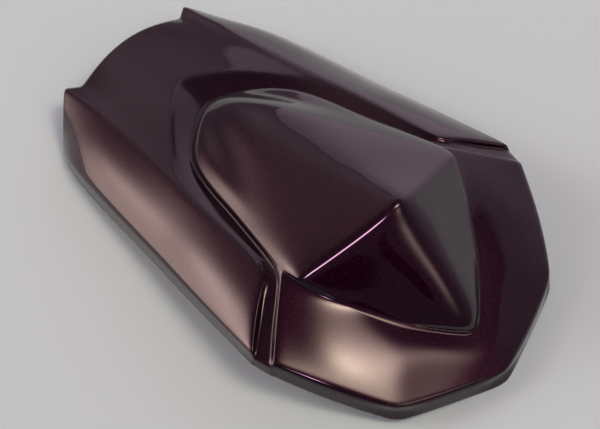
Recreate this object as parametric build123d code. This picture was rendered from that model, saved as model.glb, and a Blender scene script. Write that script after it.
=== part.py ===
from build123d import *

import os

# Seat cowl: the hard hump that covers the pillion seat of a motorbike.
# It is one thin moulded shell, alike left and right, open underneath and at the front.
# X is right, Y forward and Z up. The tail tip and the two front corners of the wings are
# the lowest places, and the shell stands on those three. All sizes are in mm, and lengths
# along Y are from the tail tip. The finished shell is moved back by half its length, so
# that its origin is in the middle of the ground that it covers.

# Driving sizes: the wall, the turned-down rim and the step round the hump
wall = 3.0
rim_depth = 13.5
rim_draft = 0.8
step_height = 4.5
step_run = 1.8

# The side corner, where the moat runs out over the rim and the wing meets the rear facet.
# The cut and the step's end are measured in, back and down from the corner.
half_width = 131.3
side_corner_y = 122.0
side_corner_z = 34.0
corner_cut_x = 3.0
corner_cut_y = 16.0
corner_cut_z = 0.8
step_end_x = 4.8
step_end_y = 19.0
step_end_z = 1.8

# The rear corner and the tail tip
rear_corner_x = 80.0
rear_corner_y = 29.6
rear_corner_z = 7.5

# The cut front edge: its middle, the two ears and the front corners of the wings
front_middle_y = 399.0
front_middle_z = 43.0
ear_x = 61.5
ear_y = 402.5
ear_z = 33.0
notch_width = 11.0
notch_depth = 8.0
wing_front_x = 87.0
wing_front_y = 378.0

# The hump: its peak, its two rear corners and the foot of the steep kite behind the peak
peak_y = 109.0
peak_z = 109.5
hump_corner_x = 78.0
hump_corner_y = 128.0
hump_corner_z = 74.0
kite_foot_y = 33.0
kite_foot_z = 31.0

# The four screw bosses under the shell
boss_diameter = 13.0
boss_bore = 4.2
boss_bore_depth = 10.0
boss_face_z = 22.0
boss_spacing_x = 88.0
boss_spacing_y = 268.0
boss_rear_y = 64.0
boss_reach = 80.0

# A point inside the shell, which tells the outward side of each face
middle = Vector(0, 200, 0)

# Lower edge of the rim on the right half, from the wing's front corner to the tail tip.
# The last value is the share of the rim's depth there: the rim runs out at the front.
rim = {
    "front": (wing_front_x, wing_front_y, 0.0, 0.2),
    "1": (95.5, 359.5, 2.0, 0.75),
    "2": (104.3, 320.0, 7.7, 1.0),
    "3": (114.5, 247.0, 17.3, 1.0),
    "4": (121.0, 203.0, 23.0, 1.0),
    "bend_out": (half_width, side_corner_y, side_corner_z, 1.0),
    "bend_in": (half_width - corner_cut_x, side_corner_y - corner_cut_y, side_corner_z - corner_cut_z, 1.0),
    "step": (half_width - step_end_x, side_corner_y - step_end_y, side_corner_z - step_end_z, 1.06),
    "side": (106.0, 66.0, 20.5, 1.06),
    "corner": (rear_corner_x, rear_corner_y, rear_corner_z, 1.04),
    "rear": (41.0, 13.8, 4.0, 1.04),
    "tail": (0.0, 0.0, 0.0, 1.04),
}

# Foot of the hump, where the moat's floor ends and the step rises.
# Then the way the step leans, and the share of its height there: it runs out at the rim.
foot = {
    "0": (0.0, 306.5, 46.5, 0.0, -1.0, 1.0),
    "1": (27.0, 291.5, 48.5, -0.6, -0.8, 1.0),
    "2": (52.0, 263.0, 51.0, -0.9, -0.4, 1.0),
    "3": (62.8, 219.0, 55.5, -1.0, 0.0, 1.0),
    "4": (70.5, 183.0, 60.0, -1.0, 0.0, 1.0),
    "bend": (79.0, 146.5, 64.0, -0.8, -0.6, 1.0),
    "5": (103.0, 127.0, 55.0, -0.6, -0.8, 0.8),
}

# The other named points of the outer skin, right half
skin = {
    # Front plate, from the cut front edge back to the moat
    "front_0": (0.0, front_middle_y, front_middle_z),
    "front_1": (28.0, 396.5, 39.8),
    "notch": (ear_x - notch_width, ear_y - notch_depth, ear_z),
    "ear": (ear_x, ear_y, ear_z),
    "plate_00": (0.0, 378.0, 45.4),
    "plate_01": (29.0, 369.0, 45.2),
    "plate_02": (52.0, 362.0, 42.6),
    "plate_10": (0.0, 356.0, 48.0),
    "plate_11": (30.0, 341.0, 49.4),
    "plate_12": (53.5, 325.0, 48.8),
    # Moat's outer edge
    "moat_0": (0.0, 333.0, 50.5),
    "moat_1": (31.0, 311.0, 53.5),
    "moat_2": (56.0, 281.0, 54.0),
    # Shoulder crest between the plate and the wing, which bends out to the rim
    "crest_1": (62.8, 366.0, 41.3),
    "crest_2": (66.7, 322.0, 48.0),
    "crest_3": (74.0, 252.0, 57.0),
    "crest_4": (80.2, 203.0, 62.5),
    "crest_bend": (86.5, 153.5, 65.0),
    "crest_5": (108.5, 140.0, 57.5),
    # Middle of the wing
    "wing_0": (79.4, 383.0, 26.5),
    "wing_1": (85.5, 358.0, 32.5),
    "wing_2": (91.0, 320.0, 37.5),
    "wing_3": (97.5, 250.0, 44.5),
    "wing_4": (103.5, 203.0, 51.0),
    # Ridge and flank of the hump
    "ridge_1": (0.0, 262.0, 80.0),
    "ridge_2": (0.0, 215.0, 89.5),
    "ridge_3": (0.0, 160.0, 98.5),
    "peak": (0.0, peak_y, peak_z),
    "flank_1": (30.0, 243.0, 74.0),
    "flank_2": (35.5, 199.0, 82.0),
    "flank_3": (38.5, 154.0, 88.0),
    "flank_4": (hump_corner_x / 2, (peak_y + hump_corner_y) / 2, (peak_z + hump_corner_z) / 2),
    "hump_corner": (hump_corner_x, hump_corner_y, hump_corner_z),
    # Steep kite behind the peak
    "kite_mid": (0.0, 71.0, 71.5),
    "kite_centre": (24.0, 83.0, 67.5),
    "kite_side": (60.0, 97.5, 57.5),
    "kite_low": (41.0, 70.0, 44.8),
    "kite_rear": (19.0, 49.0, 36.0),
    "kite_foot": (0.0, kite_foot_y, kite_foot_z),
    # Rear facets between the kite and the rim
    "facet_1": (71.0, 100.0, 56.5),
    "facet_2": (90.0, 84.0, 47.0),
    "facet_3": (27.0, 38.0, 32.5),
    "facet_4": (34.0, 27.0, 26.0),
    "crease_1": (53.0, 57.0, 38.5),
    "crease_2": (66.0, 44.0, 30.8),
    "tail_1": (0.0, 23.0, 26.5),
    "tail_2": (0.0, 12.5, 21.0),
}

# Smooth lines of the skin. A point with ~ is its mirror image, which only steers the line.
# Where two lines share a span, the first one shapes it. All other spans are straight.
lines = [
    "~front_1 front_0 front_1 notch",
    "ear wing_0 edge_front",
    "rim_front rim_1 rim_2 rim_3 rim_4 rim_bend_out rim_bend_in rim_step rim_side rim_corner",
    "edge_front edge_1 edge_2 edge_3 edge_4 edge_bend_out edge_bend_in edge_step edge_side edge_corner",
    "rim_corner rim_rear rim_tail",
    "edge_corner edge_rear edge_tail",
    "ear crest_1 crest_2 crest_3 crest_4 crest_bend",
    "crest_bend crest_5 edge_bend_out",
    "wing_0 wing_1 wing_2 wing_3 wing_4 crest_5",
    "crest_1 wing_1 edge_1",
    "crest_2 wing_2 edge_2",
    "crest_3 wing_3 edge_3",
    "crest_4 wing_4 edge_4",
    "moat_0 moat_1 moat_2 crest_3 crest_4",
    "front_0 plate_00 plate_10 moat_0",
    "front_1 plate_01 plate_11 moat_1",
    "notch plate_02 plate_12 moat_2",
    "~plate_01 plate_00 plate_01 plate_02 crest_1",
    "~plate_11 plate_10 plate_11 plate_12 crest_2",
    "foot_0 foot_1 foot_2 foot_3 foot_4 foot_bend",
    "foot_bend foot_5 edge_bend_in",
    "step_0 step_1 step_2 step_3 step_4 step_bend hump_corner",
    "step_bend step_5 edge_step",
    "step_0 ridge_1 ridge_2 ridge_3 peak",
    "step_1 flank_1 flank_2 flank_3 flank_4",
    "~flank_1 ridge_1 flank_1 step_3",
    "~flank_2 ridge_2 flank_2 step_4",
    "ridge_3 flank_3 step_bend",
    "hump_corner kite_side kite_low kite_rear kite_foot ~kite_rear",
    "flank_4 kite_centre kite_rear",
    "kite_side kite_centre kite_mid ~kite_centre",
    "kite_side facet_1 facet_2 edge_side",
    "kite_low crease_1 crease_2 edge_corner",
    "kite_rear facet_3 facet_4 edge_rear",
    "kite_foot tail_1 tail_2 edge_tail",
    "step_bend facet_1 crease_1 facet_3 tail_1 ~facet_3",
    "step_5 facet_2 crease_2 facet_4 tail_2",
]

# Fields of four-sided patches, row by row
fields = {
    "plate": ["front_0 front_1 notch ear", "plate_00 plate_01 plate_02 crest_1",
              "plate_10 plate_11 plate_12 crest_2", "moat_0 moat_1 moat_2 crest_3"],
    "wing": ["ear crest_1 crest_2 crest_3 crest_4 crest_bend",
             "wing_0 wing_1 wing_2 wing_3 wing_4 crest_5",
             "edge_front edge_1 edge_2 edge_3 edge_4 edge_bend_out",
             "rim_front rim_1 rim_2 rim_3 rim_4 rim_bend_out"],
    "moat": ["moat_0 moat_1 moat_2 crest_3 crest_4 crest_bend crest_5 edge_bend_out",
             "foot_0 foot_1 foot_2 foot_3 foot_4 foot_bend foot_5 edge_bend_in",
             "step_0 step_1 step_2 step_3 step_4 step_bend step_5 edge_step"],
    "rim_bend": ["edge_bend_out edge_bend_in edge_step", "rim_bend_out rim_bend_in rim_step"],
    "hump": ["step_0 ridge_1 ridge_2 ridge_3 peak", "step_1 flank_1 flank_2 flank_3 flank_4",
             "step_2 step_3 step_4 step_bend hump_corner"],
    "kite": ["peak flank_4 hump_corner", "kite_mid kite_centre kite_side", "kite_foot kite_rear kite_low"],
    "side_facet": ["hump_corner kite_side kite_low", "step_bend facet_1 crease_1",
                   "step_5 facet_2 crease_2", "edge_step edge_side edge_corner",
                   "rim_step rim_side rim_corner"],
    "tail_facet": ["kite_low kite_rear kite_foot", "crease_1 facet_3 tail_1", "crease_2 facet_4 tail_2",
                   "edge_corner edge_rear edge_tail", "rim_corner rim_rear rim_tail"],
}

# The open border of the skin, from the middle of the front edge round to the tail tip
border = (
    "front_0 front_1 notch ear wing_0 edge_front rim_front rim_1 rim_2 rim_3 rim_4 "
    "rim_bend_out rim_bend_in rim_step rim_side rim_corner rim_rear rim_tail"
).split()


def outer_points():
    """The named points of the outer skin: the rim's two edges and the step come from their sizes."""
    points = {name: Vector(*place) for name, place in skin.items()}
    for name, (x, y, z, share) in rim.items():
        outward = (Vector(x, y, 0) - Vector(middle.X, middle.Y, 0)).normalized()
        points["rim_" + name] = Vector(x, y, z)
        points["edge_" + name] = Vector(x, y, z + rim_depth * share) - outward * rim_draft * share
    for name, (x, y, z, lean_x, lean_y, share) in foot.items():
        points["foot_" + name] = Vector(x, y, z)
        points["step_" + name] = Vector(x, y, z + step_height * share) + Vector(lean_x, lean_y, 0) * step_run
    for name in ("rim_tail", "edge_tail"):
        points[name].X = 0
    return points


def quads():
    """The four corner names of every patch."""
    for rows in fields.values():
        table = [row.split() for row in rows]
        for upper, lower in zip(table, table[1:]):
            for i in range(len(upper) - 1):
                yield upper[i], upper[i + 1], lower[i + 1], lower[i]


def inner_points(outer):
    """Each outer point moved inward, square to the faces that meet there, by the wall."""
    normals = {name: [] for name in outer}
    for corners in quads():
        a, b, c, d = (outer[name] for name in corners)
        away = (a + b + c + d) * 0.25 - middle
        for name, before, here, after in zip(corners, (d, a, b, c), (a, b, c, d), (b, c, d, a)):
            normal = (after - here).cross(before - here).normalized()
            normals[name].append(normal if normal.dot(away) > 0 else -normal)
    points = {}
    for name, place in outer.items():
        total = Vector(0, 0, 0)
        for normal in normals[name]:
            total += normal
        if place.X == 0:
            total.X = 0
        if name.startswith("rim"):
            total.Z = 0
        mean = total.normalized()
        closeness = sum(mean.dot(normal) for normal in normals[name]) / len(normals[name])
        points[name] = place - mean * (wall / closeness)
    return points


def mirrored(point):
    return Vector(-point.X, point.Y, point.Z)


def steer(before, here, after):
    """Direction of a smooth line at a point, weighted to the nearer neighbour."""
    back = here - before
    ahead = after - here
    ratio = ahead.length / back.length
    return (back * ratio + ahead / ratio) / (back.length + ahead.length)


def end_way(way, chord):
    """Direction at a line's end, where the curve is as bent as it is at the next point."""
    return chord.normalized() * 1.5 - way * 0.5


def spans(points):
    """Every smooth span as the four control points of a cubic curve."""
    curves = {}
    for line in lines:
        names = line.split()
        places = [mirrored(points[name[1:]]) if name[0] == "~" else points[name] for name in names]
        ways = [steer(*places[i - 1:i + 2]) for i in range(1, len(places) - 1)]
        first = end_way(ways[0], places[1] - places[0])
        last = end_way(ways[-1], places[-1] - places[-2])
        ways = [first] + ways + [last]
        for i in range(len(names) - 1):
            start, end = places[i], places[i + 1]
            reach = (end - start).length / 3
            curve = [start, start + ways[i] * reach, end - ways[i + 1] * reach, end]
            if (names[i], names[i + 1]) not in curves:
                curves[names[i], names[i + 1]] = curve
                curves[names[i + 1], names[i]] = curve[::-1]
    return curves


def span(points, curves, start, end):
    straight = [points[start] + (points[end] - points[start]) * (i / 3) for i in range(4)]
    return curves.get((start, end), straight)


def patch(points, curves, corners):
    """One bicubic face whose inside follows its four border curves."""
    a, b, c, d = corners
    near = span(points, curves, a, b)
    far = span(points, curves, d, c)
    left = span(points, curves, a, d)
    right = span(points, curves, b, c)
    net = []
    for i in range(4):
        u = i / 3
        row = []
        for j in range(4):
            v = j / 3
            between = near[i] * (1 - v) + far[i] * v + left[j] * (1 - u) + right[j] * u
            corner = (near[0] * (1 - u) + near[3] * u) * (1 - v) + (far[0] * (1 - u) + far[3] * u) * v
            row.append(between - corner)
        net.append(row)
    return Face.make_bezier_surface(net)


def border_strip(outer, inner):
    """The cut edge of the wall: one face for each span of the border."""
    outer_curves = spans(outer)
    inner_curves = spans(inner)
    strip = []
    for start, end in zip(border, border[1:]):
        outside = span(outer, outer_curves, start, end)
        inside = span(inner, inner_curves, start, end)
        strip.append(Face.make_bezier_surface([[p, q] for p, q in zip(outside, inside)]))
    return strip


def shell_solid():
    outer = outer_points()
    inner = inner_points(outer)
    half = border_strip(outer, inner)
    for points in (outer, inner):
        curves = spans(points)
        half += [patch(points, curves, corners) for corners in quads()]
    whole = half + [face.mirror(Plane.YZ) for face in half]
    return Solid(Shell(whole))


def upright_rod(x, y, diameter, height):
    on_end = (Align.CENTER, Align.CENTER, Align.MIN)
    return Pos(x, y, boss_face_z) * Cylinder(diameter / 2, height, align=on_end)


def boss_places():
    front_y = boss_rear_y + boss_spacing_y
    return [(side * boss_spacing_x / 2, y) for side in (-1, 1) for y in (boss_rear_y, front_y)]


def with_bosses(shell):
    """Each boss rises from its screw face to the inside of the wall: the lowest piece of a tall rod."""
    for x, y in boss_places():
        column = upright_rod(x, y, boss_diameter, boss_reach)
        pieces = (column - shell).solids()
        shell = shell + min(pieces, key=lambda piece: piece.center().Z)
    for x, y in boss_places():
        shell = shell - upright_rod(x, y, boss_bore, boss_bore_depth)
    return shell


os.makedirs("parts", exist_ok=True)
cowl_shell = Pos(0, -ear_y / 2, 0) * with_bosses(shell_solid())
print("cowl_shell: solids", len(cowl_shell.solids()), "valid", cowl_shell.is_valid)
export_step(cowl_shell, "parts/cowl_shell.step")
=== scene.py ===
# %% [markdown]
# # A motorbike's seat cowl in dark metallic paint
#
# The cowl is one thin plastic moulding. This lesson makes its shell with the faceted hump,
# painted outside and bare inside, and the screw posts under it. Gloss paint is unkind, because
# it mirrors the lamps, and every dent in the surface shows as a bend in their reflections. So
# most of the work goes into a smooth shell with the right edges, and the rest into paint and
# lamps.
#
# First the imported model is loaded. It fixes the size, and the new shell has to stay inside it.

import math

import bmesh
import bpy
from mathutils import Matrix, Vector


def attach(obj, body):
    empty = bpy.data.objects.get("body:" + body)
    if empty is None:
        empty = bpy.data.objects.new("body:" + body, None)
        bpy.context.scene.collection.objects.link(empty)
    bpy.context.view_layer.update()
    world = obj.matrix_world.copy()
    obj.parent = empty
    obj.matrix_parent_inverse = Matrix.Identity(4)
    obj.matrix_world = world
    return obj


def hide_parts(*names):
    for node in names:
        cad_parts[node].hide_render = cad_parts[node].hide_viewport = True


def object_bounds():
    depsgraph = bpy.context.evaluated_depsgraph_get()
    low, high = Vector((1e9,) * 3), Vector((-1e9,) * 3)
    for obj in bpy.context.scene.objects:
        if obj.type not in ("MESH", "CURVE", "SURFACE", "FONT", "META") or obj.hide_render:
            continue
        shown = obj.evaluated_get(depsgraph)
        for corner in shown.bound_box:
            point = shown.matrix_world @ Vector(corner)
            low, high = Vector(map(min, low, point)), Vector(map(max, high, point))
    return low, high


MM = 0.001

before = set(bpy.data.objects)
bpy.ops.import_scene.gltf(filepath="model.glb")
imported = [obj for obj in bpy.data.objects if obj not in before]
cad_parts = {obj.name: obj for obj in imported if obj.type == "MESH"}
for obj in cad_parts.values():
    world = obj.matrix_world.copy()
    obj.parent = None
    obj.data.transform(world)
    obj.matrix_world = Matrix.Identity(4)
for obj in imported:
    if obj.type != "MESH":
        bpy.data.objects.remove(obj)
cad_low, cad_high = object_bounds()
print("CAD box, mm:", [round(v / MM, 1) for v in (*cad_low, *cad_high)])

# %% [markdown]
# ## Camera
#
# The photo looks down on the tail from behind and to the left. The camera is turned about a
# target inside the shell by an azimuth and an elevation. The focal length in pixels and the
# slight shift of the target from the picture's middle make the picture match the photo's frame.

# %% Camera at the photo's angle
PICTURE_WIDTH = 600
SENSOR_WIDTH = 36.0
VIEW_AZIMUTH = math.radians(-44.353)
VIEW_ELEVATION = math.radians(52.996)
VIEW_DISTANCE = 1394.6 * MM
FOCAL_PIXELS = 1899.7
TARGET = Vector((0, -1.25, 30)) * MM
TARGET_RIGHT = 6.94
TARGET_UP = 18.24

right = Vector((math.cos(VIEW_AZIMUTH), math.sin(VIEW_AZIMUTH), 0))
back = Vector(
    (
        math.sin(VIEW_AZIMUTH) * math.cos(VIEW_ELEVATION),
        -math.cos(VIEW_AZIMUTH) * math.cos(VIEW_ELEVATION),
        math.sin(VIEW_ELEVATION),
    )
)
up = back.cross(right)
pixel = VIEW_DISTANCE / FOCAL_PIXELS
place = TARGET - right * (TARGET_RIGHT * pixel) - up * (TARGET_UP * pixel) + back * VIEW_DISTANCE

camera = bpy.data.objects.new("camera", bpy.data.cameras.new("camera"))
bpy.context.scene.collection.objects.link(camera)
camera.data.sensor_width = SENSOR_WIDTH
camera.data.lens = FOCAL_PIXELS * SENSOR_WIDTH / PICTURE_WIDTH
camera.location = place
camera.rotation_euler = back.to_track_quat("Z", "Y").to_euler()
bpy.context.scene.camera = camera
print("lens, mm:", round(camera.data.lens, 1))

# %% [markdown]
# ## The cage
#
# A subdivision surface turns a coarse cage into a smooth skin. The cage's points have names,
# and they lie where the real shell has its lines: the shoulder crest, the moat round the
# hump, the step at the hump's foot, the ridge and the turned-down rim. Sizes are in
# millimetres for the right half, with lengths measured from the tail tip. The photo gives one
# view of a mirrored part, so each line is seen twice, near and far, which fixes its height.

# %% Named points of the right half
POINTS = {
    "front_0": (0, 400, 43.4), "front_1": (28, 398, 40.3),
    "notch": (50.5, 394.5, 33), "ear": (61.5, 402.5, 33),
    "plate_00": (0, 378, 45.4), "plate_01": (29, 369, 45.2), "plate_02": (52, 362, 42.6),
    "plate_10": (0, 356, 48), "plate_11": (30, 341, 49.4), "plate_12": (53.5, 325, 48.8),
    "moat_0": (0, 333, 50.5), "moat_1": (31, 311, 53.5), "moat_2": (56, 281, 54),
    "crest_1": (62.8, 366, 41.3), "crest_2": (66.7, 322, 48), "crest_3": (74, 252, 57),
    "crest_4": (80.2, 203, 62.5), "crest_bend": (86.5, 153.5, 65), "crest_5": (108.5, 140, 57.5),
    "wing_0": (77, 387.5, 22.5), "wing_1": (82.5, 361, 30.5), "wing_2": (89.5, 320, 37.2),
    "wing_3": (97.5, 250, 44.5), "wing_4": (103.5, 203, 51),
    "edge_front": (88.2, 376.6, 5.1), "edge_1": (96.4, 357.7, 14.5), "edge_2": (104.5, 318.7, 22.8),
    "edge_3": (113.8, 246.8, 30.8), "edge_4": (120.2, 203, 36.5), "edge_bend_out": (130.6, 122.3, 47.5),
    "edge_bend_in": (127.6, 106.3, 43.6), "edge_step": (125.8, 103.5, 46.5),
    "edge_side": (105.4, 66.5, 34.8), "edge_corner": (79.7, 30.2, 21.5),
    "edge_rear": (40.9, 14.5, 18), "edge_tail": (0, 0.8, 14),
    "rim_front": (87.8, 377.2, 1.5), "rim_1": (96.2, 358.8, 2.4), "rim_2": (104.8, 319.2, 8),
    "rim_3": (114.5, 247, 17.3), "rim_4": (121, 203, 23),
    "rim_bend_out": (131.3, 122, 34), "rim_bend_in": (128.3, 106, 33.2),
    "rim_step": (126.5, 103, 32.2), "rim_side": (106, 66, 20.5), "rim_corner": (80, 29.6, 7.5),
    "rim_rear": (41, 13.8, 4.5), "rim_tail": (0, 0, 1.6),
    "foot_0": (0, 306.5, 46.5), "foot_1": (27, 291.5, 48.5), "foot_2": (52, 263, 51),
    "foot_3": (63.8, 218.4, 55.9), "foot_4": (71.6, 182.4, 60.4),
    "foot_bend": (80, 145.8, 64.2), "foot_5": (103.4, 126.8, 52.5),
    "step_0": (0, 304.2, 52.5), "step_1": (26.4, 289.2, 54.6), "step_2": (51.3, 261.3, 57.2),
    "step_3": (62.8, 217.4, 62.2), "step_4": (70.6, 181.4, 66.7),
    "step_bend": (79.2, 144.2, 70.3), "step_5": (101.9, 125.6, 58.6),
    "gutter_5": (106.8, 136, 52.4), "gutter_out": (129.9, 118.3, 43.6), "rim_gutter": (130.6, 118, 33.7),
    "brow_0": (0, 295.6, 59.4), "brow_1": (20.8, 283, 61.4), "brow_2": (43.2, 258, 64.2),
    "brow_3": (53.6, 216.6, 69.2), "brow_4": (61.2, 180.8, 73.2),
    "brow_bend": (70.2, 144, 76.8), "brow_end": (70.5, 126.4, 77.8),
    "ridge_1": (0, 262, 80), "ridge_2": (0, 215, 89.5), "ridge_3": (0, 160, 98.5), "peak": (0, 109, 109.5),
    "flank_1": (30, 243, 74), "flank_2": (35.5, 199, 82), "flank_3": (38.5, 154, 88),
    "flank_4": (39, 118.5, 91.8), "hump_corner": (78, 128, 74),
    "kite_mid": (0, 71, 71.5), "kite_centre": (24.7, 82.1, 68.5), "kite_side": (60, 97.5, 57.5),
    "low_mid": (0, 39.4, 40.2), "low_centre": (21.2, 54.1, 44),
    "kite_low": (41, 70, 44.8), "kite_rear": (19, 49, 36), "kite_foot": (0, 33, 31),
    "facet_1": (71, 100, 56.5), "facet_2": (90, 84, 47), "facet_3": (27, 38, 32.5), "facet_4": (34, 27, 26),
    "crease_1": (53, 57, 39.7), "crease_2": (66, 44, 31.7),
    "tail_1": (0, 23, 26.5), "tail_2": (0, 12.5, 21),
}

# %% [markdown]
# The faces of the moulding are fields between these lines. A field is written as rows of point
# names, and the bridge operator fills the strip between two rows, so that no face is lost or
# doubled. Three small gaps where rows run together are closed with one triangle each.

# %% Bridge the rows of every field
FIELDS = {
    "plate": ["front_0 front_1 notch ear", "plate_00 plate_01 plate_02 crest_1",
              "plate_10 plate_11 plate_12 crest_2", "moat_0 moat_1 moat_2 crest_3"],
    "wing": ["ear crest_1 crest_2 crest_3 crest_4 crest_bend",
             "wing_0 wing_1 wing_2 wing_3 wing_4 crest_5",
             "edge_front edge_1 edge_2 edge_3 edge_4 edge_bend_out",
             "rim_front rim_1 rim_2 rim_3 rim_4 rim_bend_out"],
    "moat": ["moat_0 moat_1 moat_2 crest_3 crest_4 crest_bend",
             "foot_0 foot_1 foot_2 foot_3 foot_4 foot_bend",
             "step_0 step_1 step_2 step_3 step_4 step_bend"],
    "channel_wall": ["crest_5 edge_bend_out", "gutter_5 gutter_out"],
    "channel": ["crest_bend gutter_5 gutter_out", "foot_bend foot_5 edge_bend_in",
                "step_bend step_5 edge_step"],
    "rim_bend": ["edge_bend_out gutter_out edge_bend_in edge_step",
                 "rim_bend_out rim_gutter rim_bend_in rim_step"],
    "brow": ["step_0 step_1 step_2 step_3 step_4 step_bend hump_corner",
             "brow_0 brow_1 brow_2 brow_3 brow_4 brow_bend brow_end"],
    "hump": ["brow_0 ridge_1 ridge_2 ridge_3 peak", "brow_1 flank_1 flank_2 flank_3 flank_4",
             "brow_2 brow_3 brow_4 brow_bend brow_end"],
    "kite": ["peak flank_4 brow_end", "kite_mid kite_centre kite_side"],
    "kite_low": ["kite_mid kite_centre kite_side", "low_mid low_centre kite_low"],
    "kite_roll": ["low_mid low_centre", "kite_foot kite_rear"],
    "side_facet": ["hump_corner kite_side kite_low", "step_bend facet_1 crease_1",
                   "step_5 facet_2 crease_2", "edge_step edge_side edge_corner",
                   "rim_step rim_side rim_corner"],
    "tail_facet": ["kite_low kite_rear kite_foot", "crease_1 facet_3 tail_1", "crease_2 facet_4 tail_2",
                   "edge_corner edge_rear edge_tail", "rim_corner rim_rear rim_tail"],
}
GAPS = ("brow_end hump_corner kite_side", "low_centre kite_low kite_rear", "crest_bend crest_5 gutter_5")

tail_y = cad_low[1]
cage = bmesh.new()
crease_layer = cage.edges.layers.float.new("crease_edge")
corner_layer = cage.verts.layers.float.new("crease_vert")
round_layer = cage.edges.layers.float.new("bevel_weight_edge")
corners = {}
for name, (x, y, z) in POINTS.items():
    corners[name] = cage.verts.new((x * MM, tail_y + y * MM, z * MM))


def chain(names):
    """The edges that join the named points in a row, made where they don't exist yet."""
    points = [corners[name] for name in names.split()]
    return [cage.edges.get(pair) or cage.edges.new(pair) for pair in zip(points, points[1:])]


for rows in FIELDS.values():
    for upper, lower in zip(rows, rows[1:]):
        bmesh.ops.bridge_loops(cage, edges=chain(upper) + chain(lower))
for names in GAPS:
    bmesh.ops.contextual_create(cage, geom=[corners[name] for name in names.split()])
print("half cage:", len(cage.verts), "points", len(cage.faces), "faces")

# %% [markdown]
# A moulding has no line that is perfectly sharp, and the photo shows which are crisp and which
# melt into the next face. A crease value holds an edge while the skin is smoothed, a corner
# value holds a point, and a bevel weight gives the held edge its small radius later on.

# %% Sharp lines, soft lines and corners of the cage
FOOT_LINE = "foot_0 foot_1 foot_2 foot_3 foot_4 foot_bend foot_5 edge_bend_in rim_bend_in"
STEP_LINE = "step_0 step_1 step_2 step_3 step_4 step_bend step_5 edge_step rim_step"
SIDE_EDGE = (
    "edge_front edge_1 edge_2 edge_3 edge_4 edge_bend_out gutter_out "
    "edge_bend_in edge_step edge_side edge_corner"
)
TAIL_EDGE = "edge_corner edge_rear edge_tail"
CREASES = {
    FOOT_LINE: 1.0,
    STEP_LINE: 1.0,
    "step_bend hump_corner brow_end flank_4 peak": 1.0,
    "hump_corner kite_side": 0.8,
    "kite_side kite_low kite_rear kite_foot": 1.0,
    SIDE_EDGE: 1.0,
    "crest_bend gutter_5 gutter_out rim_gutter": 0.5,
    TAIL_EDGE: 1.0,
    "ear crest_1": 0.8,
    "crest_1 crest_2 crest_3 crest_4 crest_bend": 0.6,
    "crest_bend crest_5 edge_bend_out": 0.8,
    "moat_0 moat_1 moat_2": 0.7,
    "moat_2 crest_3": 0.5,
    "moat_0 foot_0": 0.7,
    "ridge_3 peak": 0.5,
    "ridge_2 ridge_3": 0.3,
    "kite_low crease_1 crease_2 edge_corner": 0.8,
}
CORNERS = {
    "ear notch edge_front rim_front hump_corner step_bend": 1.0,
    "peak foot_bend crest_bend edge_bend_out rim_bend_out": 0.8,
    "moat_0 foot_0 step_0 kite_foot": 0.6,
    "edge_corner rim_corner edge_tail rim_tail": 0.6,
}
ROUNDINGS = {  # each edge's bevel in millimetres
    FOOT_LINE: 0.8,
    STEP_LINE: 0.8,
    "step_bend hump_corner brow_end": 0.8,
    "brow_end flank_4 peak": 2.4,
    "kite_side kite_low": 0.9,
    "kite_low kite_rear kite_foot": 2.2,
    SIDE_EDGE: 1.6,
    TAIL_EDGE: 1.6,
}
WIDEST = 10.0  # the bevel of an edge with a weight of 1
for names, value in CREASES.items():
    for edge in chain(names):
        edge[crease_layer] = value
for names, value in CORNERS.items():
    for name in names.split():
        corners[name][corner_layer] = value
for names, value in ROUNDINGS.items():
    for edge in chain(names):
        edge[round_layer] = value / WIDEST
print("marked lines:", len(CREASES), "creased and", len(ROUNDINGS), "rounded")

# %% [markdown]
# The real part is the same on both sides, so only the right half was drawn. The mirror operator
# adds the left half, and the points on the middle line are merged before normals are made even.

# %% Mirror the cage
SAME_POINT = 0.01 * MM

half = cage.verts[:] + cage.edges[:] + cage.faces[:]
bmesh.ops.mirror(cage, geom=half, merge_dist=SAME_POINT, axis="X")
bmesh.ops.remove_doubles(cage, verts=cage.verts[:], dist=SAME_POINT)
bmesh.ops.recalc_face_normals(cage, faces=cage.faces[:])
mesh = bpy.data.meshes.new("cowl")
cage.to_mesh(mesh)
cage.free()
cowl = bpy.data.objects.new("cowl", mesh)
bpy.context.scene.collection.objects.link(cowl)
print("whole cage:", len(mesh.polygons), "faces")

# %% [markdown]
# ## The skin
#
# A subdivision surface shrinks away from its cage, so the measured lines would come out too
# small. Here the cage is pushed out by what is missing, a few times over, until the first
# smoothing comes within a fraction of a millimetre of the named points. The second level of
# that skin is then kept.

# %% Push the cage until the skin passes through its points
PUSHES = 8


def smoothed(piece):
    """The mesh of a piece with its modifiers applied."""
    bpy.context.view_layer.update()
    return bpy.data.meshes.new_from_object(piece.evaluated_get(bpy.context.evaluated_depsgraph_get()))


first = cowl.modifiers.new("skin", "SUBSURF")
first.levels = first.render_levels = 1
goals = [vertex.co.copy() for vertex in mesh.vertices]
for _ in range(PUSHES):
    skin = smoothed(cowl)
    for vertex, goal, reached in zip(mesh.vertices, goals, skin.vertices):
        vertex.co += goal - reached.co
    farthest = max((goal - reached.co).length for goal, reached in zip(goals, skin.vertices))
    bpy.data.meshes.remove(skin)
print("farthest from its point, mm:", round(farthest / MM, 2))
first.levels = first.render_levels = 2
skin = smoothed(cowl)
cowl.modifiers.clear()
cowl.data = skin
mesh = skin
for attribute in ("crease_edge", "crease_vert"):
    if attribute in mesh.attributes:
        mesh.attributes.remove(mesh.attributes[attribute])
print("skin:", len(mesh.polygons), "faces, attributes", [a.name for a in mesh.attributes])
mesh.shade_smooth()

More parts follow.
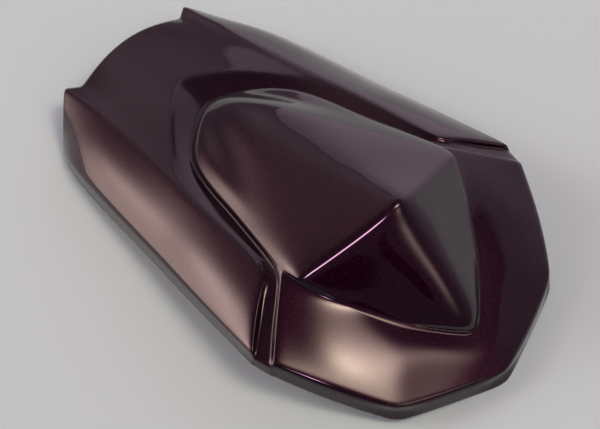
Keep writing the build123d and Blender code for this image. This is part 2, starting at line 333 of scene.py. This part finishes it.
# %% [markdown]
# ## Wall and rounded edges
#
# The wall is hidden in the photo and is taken as 3 mm, which is usual for such a moulding. The
# Solidify modifier grows it inwards, which leaves the outside where the photo has it. The Bevel
# modifier rounds the weighted edges, and a last smoothing makes the reflections flow. The
# inside and the trimmed edge get slots of their own, because paint only reaches the outside.

# %% Wall, bevel and smoothing
WALL_THICKNESS = 3 * MM
CUT_EDGE_CREASE = 0.9
INSIDE_SLOT = 1
CUT_EDGE_SLOT = 2

wall = cowl.modifiers.new("wall", "SOLIDIFY")
wall.thickness = WALL_THICKNESS
wall.offset = -1
wall.use_even_offset = True
wall.edge_crease_outer = CUT_EDGE_CREASE
wall.edge_crease_inner = CUT_EDGE_CREASE
wall.material_offset = INSIDE_SLOT
wall.material_offset_rim = CUT_EDGE_SLOT
bevel = cowl.modifiers.new("edges", "BEVEL")
bevel.width = WIDEST * MM
bevel.segments = 1
bevel.limit_method = "WEIGHT"
bevel.use_clamp_overlap = False
subsurf = cowl.modifiers.new("smooth", "SUBSURF")
subsurf.levels = subsurf.render_levels = 2
check = smoothed(cowl)
print("final faces", len(check.polygons), "triangles", sum(len(p.vertices) - 2 for p in check.polygons))
bpy.data.meshes.remove(check)

# %% [markdown]
# ## Screw bosses
#
# Under the shell, four short posts take the screws that hold the cowl to the seat frame. The
# photo doesn't show them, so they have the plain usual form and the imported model's sizes. Each
# is a profile turned round its own axis with the spin operator: the blind bore, the flat face,
# the straight side, a flare where the post grows out of the wall, and a lid inside the wall.
# Turning is the plain way to make a round post, and the lid leaves it closed all round.

# %% Spin the four posts
BOSS_FACE_Z = 22 * MM
BOSS_SPACING = (88 * MM, 268 * MM)
BOSS_REAR = 64 * MM
BOSS_RADIUS = 6.5 * MM
BORE_RADIUS = 2.1 * MM
BORE_DEPTH = 10 * MM
BORE_CONE = 0.6 * MM
CHAMFER = 0.4 * MM
FLARE = 2.5 * MM
FLARE_BEND = 0.3
INTO_WALL = 0.8 * MM
ROUND_STEPS = 32


def boss_profile(top):
    """The points (radius, height) of a post from the bottom of its bore to its lid."""
    return [
        (0, BOSS_FACE_Z + BORE_DEPTH),
        (BORE_RADIUS, BOSS_FACE_Z + BORE_DEPTH - BORE_CONE),
        (BORE_RADIUS, BOSS_FACE_Z + CHAMFER),
        (BORE_RADIUS + CHAMFER, BOSS_FACE_Z),
        (BOSS_RADIUS - CHAMFER, BOSS_FACE_Z),
        (BOSS_RADIUS, BOSS_FACE_Z + CHAMFER),
        (BOSS_RADIUS, top - FLARE),
        (BOSS_RADIUS + FLARE_BEND * FLARE, top - FLARE_BEND * FLARE),
        (BOSS_RADIUS + FLARE, top),
        (0, top),
    ]


def wall_above(x, y):
    """The height of the inner wall over a point of the floor."""
    _, place_on_wall, _, _ = cowl.ray_cast(Vector((x, y, 0)), Vector((0, 0, 1)))
    return place_on_wall.z


posts = bmesh.new()
for x in (-BOSS_SPACING[0] / 2, BOSS_SPACING[0] / 2):
    for y in (tail_y + BOSS_REAR, tail_y + BOSS_REAR + BOSS_SPACING[1]):
        wall_z = wall_above(x, y)
        profile = [posts.verts.new((x + radius, y, z)) for radius, z in boss_profile(wall_z)]
        line = [posts.edges.new(pair) for pair in zip(profile, profile[1:])]
        bmesh.ops.spin(
            posts, geom=profile + line, cent=(x, y, 0), axis=(0, 0, 1), angle=math.tau,
            steps=ROUND_STEPS, use_merge=True, use_duplicate=False,
        )
        print("post at", round(x / MM), round(y / MM), "meets the wall at", round(wall_z / MM, 1))
        for vertex in posts.verts:
            on_this_post = (vertex.co.xy - Vector((x, y))).length < BOSS_RADIUS * 2
            if on_this_post and vertex.co.z > wall_z - 2 * FLARE:
                vertex.co.z += wall_above(vertex.co.x, vertex.co.y) - wall_z + INTO_WALL
bmesh.ops.remove_doubles(posts, verts=posts.verts[:], dist=SAME_POINT)
bmesh.ops.recalc_face_normals(posts, faces=posts.faces[:])
print("posts:", len(posts.faces), "faces")
boss_mesh = bpy.data.meshes.new("screw_bosses")
posts.to_mesh(boss_mesh)
posts.free()
boss_mesh.shade_smooth()
bosses = bpy.data.objects.new("screw_bosses", boss_mesh)
bpy.context.scene.collection.objects.link(bosses)

# %% [markdown]
# ## Shader sums
#
# A finish is a formula over the surface, so this small class lets a node's output be used in
# one. Sums and products on it add Math nodes, and every other node comes from its one method.

# %% A socket that takes part in sums
BUMP_DEPTH = 0.2 * MM


class Socket:
    """An output of a node, for use in sums and as the input of other nodes."""

    def __init__(self, tree, output=None):
        self.tree = tree
        self.output = output

    def node(self, kind, settings=None, inputs=None, output=0):
        """Adds a node, with its settings first and then its inputs' values or links."""
        new = self.tree.nodes.new(kind)
        for name, value in (settings or {}).items():
            setattr(new, name, value)
        for name, value in (inputs or {}).items():
            if isinstance(value, Socket):
                self.tree.links.new(value.output, new.inputs[name])
            else:
                new.inputs[name].default_value = value
        return Socket(self.tree, new.outputs[output])

    def math(self, operation, *terms):
        """Adds a Math node on plain numbers or sockets."""
        return self.node("ShaderNodeMath", {"operation": operation}, dict(enumerate(terms)))

    def __add__(self, other):
        return self.math("ADD", self, other)

    def __sub__(self, other):
        return self.math("SUBTRACT", self, other)

    def __rsub__(self, other):
        return self.math("SUBTRACT", other, self)

    def __mul__(self, other):
        return self.math("MULTIPLY", self, other)

    def __pow__(self, other):
        return self.math("POWER", self, other)

    __radd__ = __add__
    __rmul__ = __mul__


def mix(blend, factor, first, second):
    """Two colours through a Mix node."""
    tool = factor if isinstance(factor, Socket) else first
    settings = {"data_type": "RGBA", "blend_type": blend, "clamp_factor": False}
    return tool.node("ShaderNodeMix", settings, {0: factor, 6: first, 7: second}, 2)


def finish(name, **uniform):
    """A material with plain values on its shader, and with it the shader and the position."""
    material = bpy.data.materials.new(name)
    material.use_nodes = True
    tree = material.node_tree
    shader = tree.nodes["Principled BSDF"]
    for socket, value in uniform.items():
        shader.inputs[socket.replace("_", " ").title()].default_value = value
    position = Socket(tree).node("ShaderNodeTexCoord", output="Object")
    return material, shader, position


def feed(shader, socket, value):
    """Links a value that changes over the surface to one of the shader's sockets."""
    value.tree.links.new(value.output, shader.inputs[socket])


def bumped(height, strength):
    """The normal of a surface with the given relief."""
    inputs = {"Strength": strength, "Distance": BUMP_DEPTH, "Height": height}
    return height.node("ShaderNodeBump", {}, inputs)


def noise(position, scale, detail):
    """A cloudy pattern with so many clouds to the metre."""
    inputs = {"Vector": position, "Scale": scale, "Detail": detail}
    return position.node("ShaderNodeTexNoise", {}, inputs)


# %% [markdown]
# ## Candy paint
#
# The paint is a deep plum full of metal flake, under a thick gloss lacquer. The lacquer mirrors
# the studio, and the flakes glow magenta round each highlight. A metallic base with a wide
# gloss lobe gives the glow, the coat gives the mirror, and a cell pattern gives each flake
# its own tone and tilt.

# %% Paint
FLAKE = (0.008, 0.0005, 0.004, 1)
FLAKE_BRIGHT = (0.055, 0.006, 0.034, 1)
FLAKES_PER_METRE = 1500
CLOUDS_PER_METRE = 18
FLAKE_RARITY = 4
FLAKE_SHARE = 0.6
CLOUD_SHARE = 0.1
FLAKE_ROUGHNESS = 0.38
FLAKE_ROUGHNESS_RANGE = 0.1
FLAKE_TILT = 0.12

paint, paint_shader, position = finish(
    "candy_paint", metallic=1.0, coat_weight=1.0, coat_roughness=0.03,
)
cells = {"Vector": position, "Scale": FLAKES_PER_METRE}
flakes = position.node("ShaderNodeTexVoronoi", {}, cells, "Color")
flake = flakes.node("ShaderNodeSeparateColor", {}, {"Color": flakes}, "Red")
cloud = noise(position, CLOUDS_PER_METRE, 3)
brightness = flake ** FLAKE_RARITY * FLAKE_SHARE + cloud * CLOUD_SHARE
feed(paint_shader, "Base Color", mix("MIX", brightness, FLAKE, FLAKE_BRIGHT))
feed(paint_shader, "Roughness", FLAKE_ROUGHNESS + flake * FLAKE_ROUGHNESS_RANGE)
feed(paint_shader, "Normal", bumped(flake, FLAKE_TILT))
print("paint nodes:", len(paint.node_tree.nodes))

# %% [markdown]
# ## Bare plastic
#
# Inside, the moulding is left as it came from the tool: dark, matt and very finely grained. The
# trimmed edge of the wall is the same bare plastic, but it is coloured pale as a painted highlight,
# so that it shows as the thin light line round the cowl.

# %% Inside, and trimmed edge with a painted highlight
PLASTIC_DARK = (0.022, 0.022, 0.024, 1)
PLASTIC_LIGHT = (0.045, 0.045, 0.048, 1)
# The pale tones of the trimmed edge are a painted highlight, not the dark plastic's own colour.
TRIM_HIGHLIGHT_DARK = (0.16, 0.18, 0.185, 1)
TRIM_HIGHLIGHT_LIGHT = (0.32, 0.35, 0.35, 1)
GRAINS_PER_METRE = 900
FLOWS_PER_METRE = 25
SCUFFS_PER_METRE = 220
GRAIN_RELIEF = 0.25

plastic, plastic_shader, position = finish("bare_plastic", metallic=0.0)
grain = noise(position, GRAINS_PER_METRE, 2)
flow = noise(position, FLOWS_PER_METRE, 4)
feed(plastic_shader, "Base Color", mix("MIX", flow, PLASTIC_DARK, PLASTIC_LIGHT))
feed(plastic_shader, "Roughness", 0.5 + flow * 0.15)
feed(plastic_shader, "Normal", bumped(grain, GRAIN_RELIEF))

# The trimmed edge: bare plastic with a painted highlight, the thin light line along the rim.
trim_highlight, trim_highlight_shader, position = finish("trimmed_edge_painted_highlight", metallic=0.0)
scuff = noise(position, SCUFFS_PER_METRE, 3)
feed(trim_highlight_shader, "Base Color", mix("MIX", scuff, TRIM_HIGHLIGHT_DARK, TRIM_HIGHLIGHT_LIGHT))
feed(trim_highlight_shader, "Roughness", 0.45 + scuff * 0.2)
for material in (paint, plastic, trim_highlight):
    mesh.materials.append(material)
boss_mesh.materials.append(plastic)
print("finishes:", [material.name for material in mesh.materials])

# %% [markdown]
# ## Place in the imported model
#
# Both pieces show the one moulded part of the imported model. Neither moves, so both ride its only
# body and take the place of its shell.

# %% Tie the pieces to the imported model
for piece in (cowl, bosses):
    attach(piece, "root")
    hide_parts("cowl_shell")
    print(piece.name, "stands for the shell")

# %% [markdown]
# ## Floor
#
# The cowl lies on a plain pale floor, wide enough to reach the horizon in every view.

# %% Floor
FLOOR_REACH = 12
FLOOR_COLOR = (0.64, 0.86, 0.88, 1)

floor_mesh = bpy.data.meshes.new("floor")
floor_shape = bmesh.new()
bmesh.ops.create_grid(floor_shape, x_segments=1, y_segments=1, size=FLOOR_REACH)
floor_shape.to_mesh(floor_mesh)
floor_shape.free()
floor = bpy.data.objects.new("floor", floor_mesh)
bpy.context.scene.collection.objects.link(floor)
floor_paint, floor_shader, _ = finish("floor", roughness=0.7)
floor_shader.inputs["Base Color"].default_value = FLOOR_COLOR
floor_mesh.materials.append(floor_paint)
print("floor reaches, m:", FLOOR_REACH)

# %% [markdown]
# ## Studio
#
# The paint is a mirror, so the light is drawn as what it mirrors: a dim dome with large soft
# patches. A tall warm softbox stands to the left, a small strong one hangs over the tail, faint
# ones light the front, a small pink one behind catches the hump's trailing edge, and a lilac
# panel with a crisp edge covers the right. A patch is a bell curve round its direction, and the
# panel's edges are two thin ramps. A round black flag behind the tail keeps the lacquer of the
# hump's rear face dark, so that only the flakes glow there.

# %% Dome of soft light
DOME = (0.14, 0.092, 0.125, 1)
PATCHES = {  # azimuth from the front towards the right, elevation, spread, strength, colour
    "left_high": (-43, 30, 8, 6.8, (1.0, 0.76, 0.68)),
    "left_low": (-43, 9, 12, 4.1, (1.0, 0.79, 0.68)),
    "over_tail": (175, 62, 5.6, 17, (1.0, 0.77, 0.61)),
    "tail_spill": (155, 60.5, 5, 4.3, (1.0, 0.73, 0.65)),
    "rear_low": (179, 33, 6, 2.2, (1.0, 0.74, 0.66)),
    "front": (20, 36, 14, 0.55, (1.0, 0.75, 0.86)),
    "upper_left": (-14, 50, 12, 0.25, (1.0, 0.58, 0.52)),
    "spark": (-140, 42, 1.6, 40, (1.0, 0.55, 0.86)),
}
PANEL = (72, 12, 30, 0.8, (1.0, 0.81, 0.97))
PANEL_EDGE_AZIMUTH = math.radians(48.2)
PANEL_LEAN = 0.25
PANEL_EDGE_BLUR = 0.01
PANEL_TOP = math.sin(math.radians(45))
PANEL_TOP_BLUR = 0.03
FLAG = (-152.5, 26)
FLAG_RADIUS = math.radians(3)
FLAG_BLUR = math.radians(0.15)
FLAG_SHADE = (0.05, 0.05, 0.05, 1)


def towards(azimuth, elevation):
    """The unit vector of a direction given in degrees."""
    a, e = math.radians(azimuth), math.radians(elevation)
    return Vector((math.sin(a) * math.cos(e), math.cos(a) * math.cos(e), math.sin(e)))


def cosine_to(direction, axis):
    """The dot product of the direction with a fixed axis."""
    settings = {"operation": "DOT_PRODUCT"}
    return direction.node("ShaderNodeVectorMath", settings, {0: direction, 1: axis}, "Value")


def glow(direction, azimuth, elevation, spread):
    """A bell curve round a direction, one in its middle."""
    sharpness = 1 / math.radians(spread) ** 2
    return direction.math("EXPONENT", (cosine_to(direction, towards(azimuth, elevation)) - 1) * sharpness)


def ramp(value, low, high):
    """Zero below low, one above high, and smooth between."""
    limits = {"Value": value, "From Min": low, "From Max": high}
    return value.node("ShaderNodeMapRange", {"interpolation_type": "SMOOTHSTEP"}, limits)


def lit(color, strength):
    """The colour of a lamp at its strength."""
    return (*(channel * strength for channel in color), 1)


world = bpy.data.worlds.new("studio")
bpy.context.scene.world = world
world.use_nodes = True
direction = Socket(world.node_tree).node("ShaderNodeTexCoord", output="Generated")
sky = DOME
for azimuth, elevation, spread, strength, color in PATCHES.values():
    sky = mix("ADD", glow(direction, azimuth, elevation, spread), sky, lit(color, strength))
panel_edge = Vector((math.cos(PANEL_EDGE_AZIMUTH), -math.sin(PANEL_EDGE_AZIMUTH), PANEL_LEAN))
beyond_edge = cosine_to(direction, panel_edge)
height = direction.node("ShaderNodeSeparateXYZ", {}, {"Vector": direction}, "Z")
below_top = 1 - ramp(height, PANEL_TOP - PANEL_TOP_BLUR, PANEL_TOP + PANEL_TOP_BLUR)
azimuth, elevation, spread, strength, color = PANEL
panel = glow(direction, azimuth, elevation, spread)
panel = panel * ramp(beyond_edge, -PANEL_EDGE_BLUR, PANEL_EDGE_BLUR) * below_top
sky = mix("ADD", panel, sky, lit(color, strength))
flag_rim = math.cos(FLAG_RADIUS + FLAG_BLUR), math.cos(FLAG_RADIUS - FLAG_BLUR)
flag = ramp(cosine_to(direction, towards(*FLAG)), *flag_rim)
sky = mix("MULTIPLY", flag, sky, FLAG_SHADE)
feed(world.node_tree.nodes["Background"], "Color", sky)
bpy.context.scene.view_settings.view_transform = "Standard"
print("dome nodes:", len(world.node_tree.nodes))
